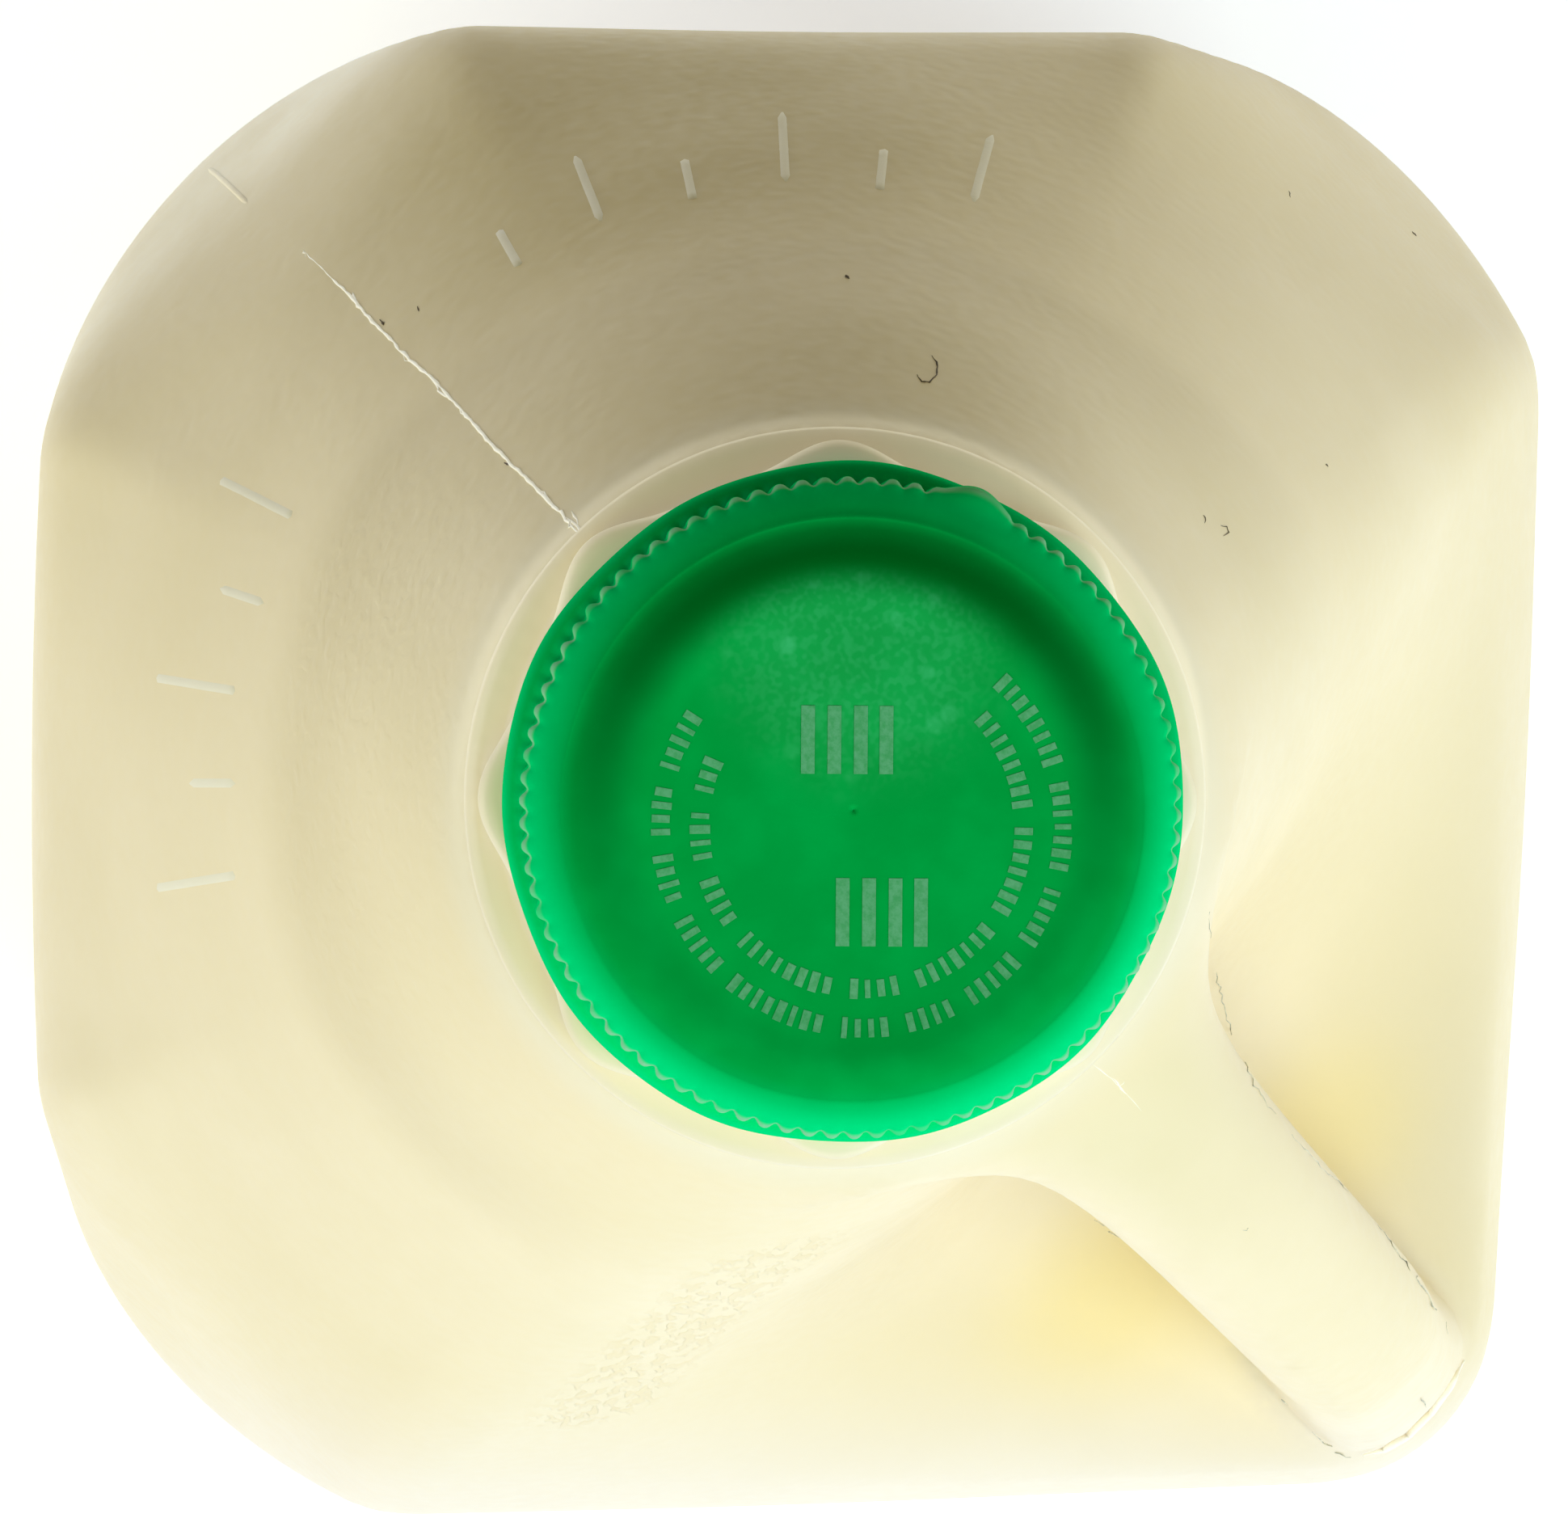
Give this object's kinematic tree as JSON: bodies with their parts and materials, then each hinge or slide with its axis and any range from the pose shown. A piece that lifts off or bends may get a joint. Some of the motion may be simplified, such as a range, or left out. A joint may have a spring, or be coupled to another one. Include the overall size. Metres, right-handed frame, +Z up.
{
  "type": "milk jug",
  "caption": "Half-gallon plastic milk jug with a hollow corner handle, full of milk and closed by a knurled green screw cap.",
  "frame": {"origin": "middle of the jug's footprint box, on the surface it stands on", "axes": "+Z up, +X towards the corner with the handle, so the square body's corners lie on the X and Y axes"},
  "size_m": [0.145, 0.1428, 0.2308],
  "materials": {
    "jug_plastic": "natural translucent, softly glossy",
    "milk": "opaque liquid",
    "cap_print": "thin pale green print",
    "cap_plastic": "green, softly glossy"
  },
  "bodies": {
    "root": {"jug": "jug_plastic", "milk": "milk", "cap": "cap_plastic"}
  },
  "joints": []
}
